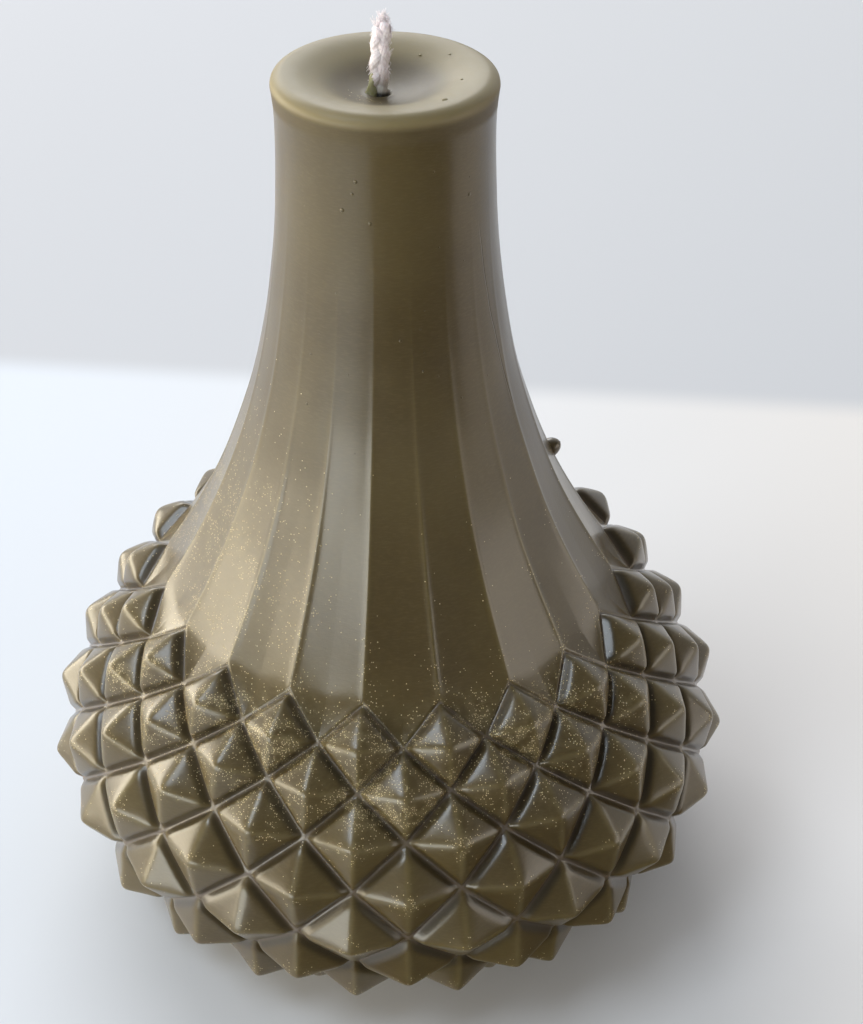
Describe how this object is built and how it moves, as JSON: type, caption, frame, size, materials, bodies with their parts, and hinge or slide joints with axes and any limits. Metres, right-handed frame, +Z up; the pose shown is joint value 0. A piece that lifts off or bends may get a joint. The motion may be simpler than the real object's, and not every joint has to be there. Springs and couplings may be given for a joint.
{
  "type": "candle",
  "caption": "Cast wax candle with a fluted neck, a round body of diamond studs and a plaited cotton wick, free-standing on a flat base.",
  "frame": {"origin": "centre of the flat base", "axes": "+Z up the candle's axis towards the wick; -Y is the front, through the middle of one column of studs"},
  "size_m": [0.114, 0.114, 0.149],
  "materials": {
    "wax": "satin, slightly translucent cast wax",
    "cotton": "matt plaited cotton"
  },
  "bodies": {
    "root": {"wax_body": "wax", "wick_strand_1": "cotton", "wick_strand_2": "cotton", "wick_strand_3": "cotton"}
  },
  "joints": []
}
